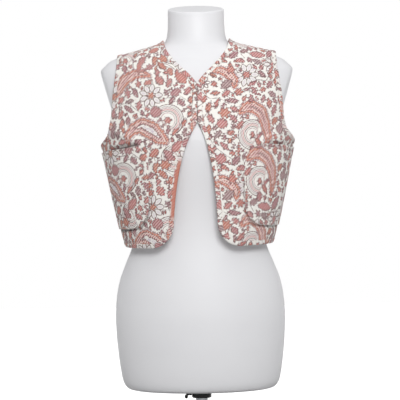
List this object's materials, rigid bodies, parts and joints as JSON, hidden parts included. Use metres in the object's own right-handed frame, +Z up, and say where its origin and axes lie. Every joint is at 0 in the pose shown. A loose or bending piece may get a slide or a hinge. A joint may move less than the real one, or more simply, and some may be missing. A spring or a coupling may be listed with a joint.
{
  "type": "vest on a limbless dress form with a stand",
  "caption": "Cropped sleeveless V-neck vest with a flower and paisley print and patch pockets, worn by a plain white dress form on a short stand.",
  "frame": {"origin": "under the middle of the base plate, on the surface that the stand rests on", "axes": "+Z up, the front of the vest faces -Y, +X is the wearer's left"},
  "size_m": [0.379, 0.3, 0.8701],
  "materials": {
    "print_cloth": "off-white woven cotton printed with coral, pink and mauve paisley and flowers",
    "binding_cloth": "folded strips of the same printed cloth",
    "form_shell": "smooth white with a soft sheen",
    "pole_chrome": "polished",
    "stand_black": "black satin powder coat",
    "hook_metal": "dark enamelled wire"
  },
  "bodies": {
    "root": {"dress_form": "form_shell", "base_plate": "stand_black", "pole_boss": "stand_black", "pole": "pole_chrome", "socket_collar": "stand_black", "fixing_plate": "stand_black", "clamp_screw": "stand_black", "vest_back": "print_cloth", "vest_front_right": "print_cloth", "vest_front_left": "print_cloth", "pocket_right": "print_cloth", "pocket_left": "print_cloth", "binding_back_neck": "binding_cloth", "binding_back_hem": "binding_cloth", "binding_front_right": "binding_cloth", "binding_front_left": "binding_cloth", "binding_armhole_right": "binding_cloth", "binding_armhole_left": "binding_cloth", "front_hook": "hook_metal", "front_eye": "hook_metal"}
  },
  "joints": []
}
